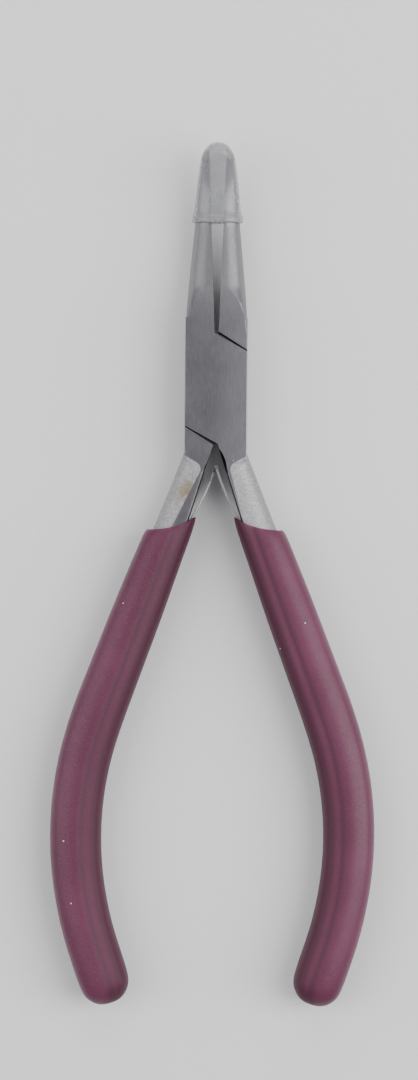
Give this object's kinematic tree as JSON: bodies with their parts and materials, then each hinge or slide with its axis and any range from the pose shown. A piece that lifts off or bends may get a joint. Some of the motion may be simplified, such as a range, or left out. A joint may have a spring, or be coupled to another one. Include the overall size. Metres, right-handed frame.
{
  "type": "bent nose jewellery pliers",
  "caption": "Sprung jewellery pliers with a lap joint, fine half-round jaws bent up at the tips, leaf springs, dipped grips and a soft clear tip guard",
  "frame": {"origin": "on the pivot axis, in the plane of the joint's ground back face", "axes": "+Y towards the jaw tips, +X to the right as seen from the front face, +Z out of the front face, the way the tips bend"},
  "size_m": [0.0564, 0.1499, 0.0114],
  "materials": {
    "tool_steel": "satin ground faces with blasted tangs",
    "rivet_steel": "ground flush",
    "spring_steel": "rolled strip",
    "plum_vinyl": "dipped vinyl with a soft gloss",
    "clear_vinyl": "soft milky translucent vinyl"
  },
  "bodies": {
    "front_half": {"front_half": "tool_steel", "pivot_rivet": "rivet_steel", "right_grip": "plum_vinyl", "right_leaf_spring": "spring_steel", "right_spring_rivet": "rivet_steel"},
    "back_half": {"back_half": "tool_steel", "left_grip": "plum_vinyl", "left_leaf_spring": "spring_steel", "left_spring_rivet": "rivet_steel"},
    "tip_guard": {"tip_guard": "clear_vinyl"}
  },
  "joints": [
    {"name": "jaw_hinge", "type": "hinge", "parent": "front_half", "child": "back_half", "pos_m": [0, 0, 0.004], "axis": [0, 0, 1], "range_deg": [0, 4.1], "stiffness_Nm_per_rad": 1.5, "springref_deg": -8.59, "deforming": ["right_leaf_spring", "left_leaf_spring"]},
    {"name": "guard_pull", "type": "hinge", "parent": "front_half", "child": "tip_guard", "pos_m": [0, 0.028, 0.0235], "axis": [1, 0, 0], "range_deg": [0, 50]}
  ]
}
